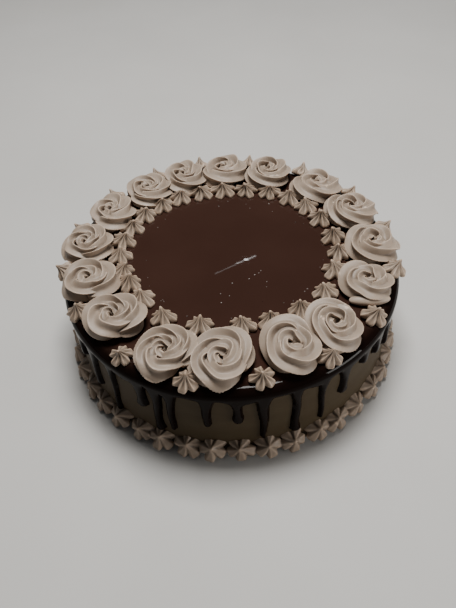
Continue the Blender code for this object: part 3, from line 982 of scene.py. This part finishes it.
def build_border(material):
    rng = random.Random(BORDER_SEED)
    vertices, faces, start = [], [], 0
    for i in range(BORDER_FLOWERS):
        azimuth = 360.0 * (i + 0.5 + rng.uniform(*BORDER_SHIFT)) / BORDER_FLOWERS
        outward = direction(azimuth)
        tilt = math.radians(BORDER_TILT + rng.uniform(*BORDER_TILTS))
        axis = (*(outward * math.sin(tilt)), math.cos(tilt))
        height = BORDER_HEIGHT * rng.uniform(*BORDER_HEIGHTS)
        lean = (rng.uniform(*BORDER_TIP), rng.uniform(*BORDER_TIP))
        radius = BORDER_RADIUS * rng.uniform(*BORDER_SIZES)
        points, parts = star_points(radius, height, rng, BORDER_RINGS, lean)
        seat = (*(outward * BORDER_SEAT[0]), BORDER_SEAT[1] + rng.uniform(*BORDER_SEATS))
        points = placed_on(points, seat, axis)
        points[:, 2] = np.maximum(points[:, 2], 0.0)
        vertices.append(points)
        faces.extend(tuple(start + v for v in part) for part in parts)
        start += len(points)
    obj = new_object("piped_border", np.vstack(vertices), faces)
    remeshed(obj, BORDER_VOXEL, BORDER_SMOOTHING, BORDER_KEPT_FACES)
    finish_piece(obj, material, "border_cream", "base_border")


# Stage

def camera_back():
    """Direction from the target to the camera."""
    pitch = math.radians(CAMERA_PITCH)
    return Vector((0.0, -math.cos(pitch), math.sin(pitch)))


def camera_place():
    return CAMERA_TARGET + camera_back() * CAMERA_DISTANCE


def build_camera():
    back = camera_back()
    right = Matrix.Rotation(math.radians(CAMERA_ROLL), 3, back) @ Vector((1.0, 0.0, 0.0))
    up = back.cross(right)
    data = bpy.data.cameras.new("camera")
    data.sensor_fit = "VERTICAL"
    data.sensor_height = SENSOR_HEIGHT
    data.lens = SENSOR_HEIGHT * FOCAL_PIXELS / FRAME_HEIGHT
    data.clip_start, data.clip_end = CAMERA_CLIP
    camera = bpy.data.objects.new("camera", data)
    turn = Matrix((right, up, back)).transposed().to_4x4()
    camera.matrix_world = Matrix.Translation(camera_place() * MM) @ turn
    bpy.context.scene.collection.objects.link(camera)
    bpy.context.scene.camera = camera


def area_light(name, place, target, size, power, colour=(1.0, 1.0, 1.0)):
    data = bpy.data.lights.new(name, "AREA")
    data.shape = "RECTANGLE"
    data.size, data.size_y = size
    data.energy = power
    data.color = colour
    light = bpy.data.objects.new(name, data)
    light.location = place
    aim = Vector(target) - Vector(place)
    light.rotation_euler = aim.to_track_quat("-Z", "Y").to_euler()
    bpy.context.scene.collection.objects.link(light)
    return light


def mirrored(point):
    """Where a light stands whose mirror image in the flat glaze the camera sees at point."""
    ray = (point - camera_place()).normalized()
    ray.z = -ray.z
    return point + ray * MIRROR_DISTANCE


def aim_along(light, along):
    """Turns a strip light so that its long side follows along."""
    face = light.matrix_basis.to_3x3().col[2].normalized()
    long = (along - face * along.dot(face)).normalized()
    turn = Matrix((long, face.cross(long), face)).transposed().to_4x4()
    light.matrix_basis = Matrix.Translation(light.location) @ turn


def build_glints():
    """Lights whose mirror images are the streak and the spark on the glaze."""
    target = (0.0, 0.0, CAKE_TOP * MM)
    bends = [mirrored(point) for point in STREAK_POINTS]
    for first, second, power in zip(bends, bends[1:], STREAK_POWERS):
        along = second - first
        size = (along.length * MM, STREAK_WIDTH)
        streak = area_light("streak", (first + along / 2.0) * MM, target, size, power)
        aim_along(streak, along)
    area_light("spark", mirrored(SPARK_POINT) * MM, target, SPARK_SIZE, SPARK_POWER)


def build_stage():
    world = bpy.data.worlds.new("studio")
    world.use_nodes = True
    background = world.node_tree.nodes["Background"]
    background.inputs["Color"].default_value = SKY_COLOUR
    background.inputs["Strength"].default_value = SKY_STRENGTH
    bpy.context.scene.world = world
    for light in STUDIO_LIGHTS:
        area_light(*light)
    build_glints()
    half = FLOOR_HALF
    corners = [(-half, -half, 0.0), (half, -half, 0.0), (half, half, 0.0), (-half, half, 0.0)]
    floor = new_object("floor", corners, [(0, 1, 2, 3)])
    floor.data.materials.append(floor_material())


def main():
    build_camera()
    build_stage()
    build_body(frosting_material())
    top = glaze_material("poured_chocolate", TOP_SPECULAR)
    side = glaze_material("poured_chocolate_side", SIDE_SPECULAR)
    build_glaze(top, side)
    build_bubbles(bubble_material())
    rose_cream = cream_material("rose_cream_piped", *ROSE_CREAM)
    # Darker copies of the rose cream: painted shade on the stars and the border
    star_cream = cream_material("star_cream_painted_shade", *STAR_CREAM_PAINTED_SHADE)
    border_cream = cream_material("border_cream_painted_shade", *BORDER_CREAM_PAINTED_SHADE)
    rose_rng = random.Random(ROSE_SEED)
    for index, spec in enumerate(ROSES):
        build_rose(index, spec, rose_rng, rose_cream)
    star_rng = random.Random(STAR_SEED)
    build_inner_stars(star_cream, star_rng)
    build_outer_stars(star_cream, star_rng)
    build_border(border_cream)


main()
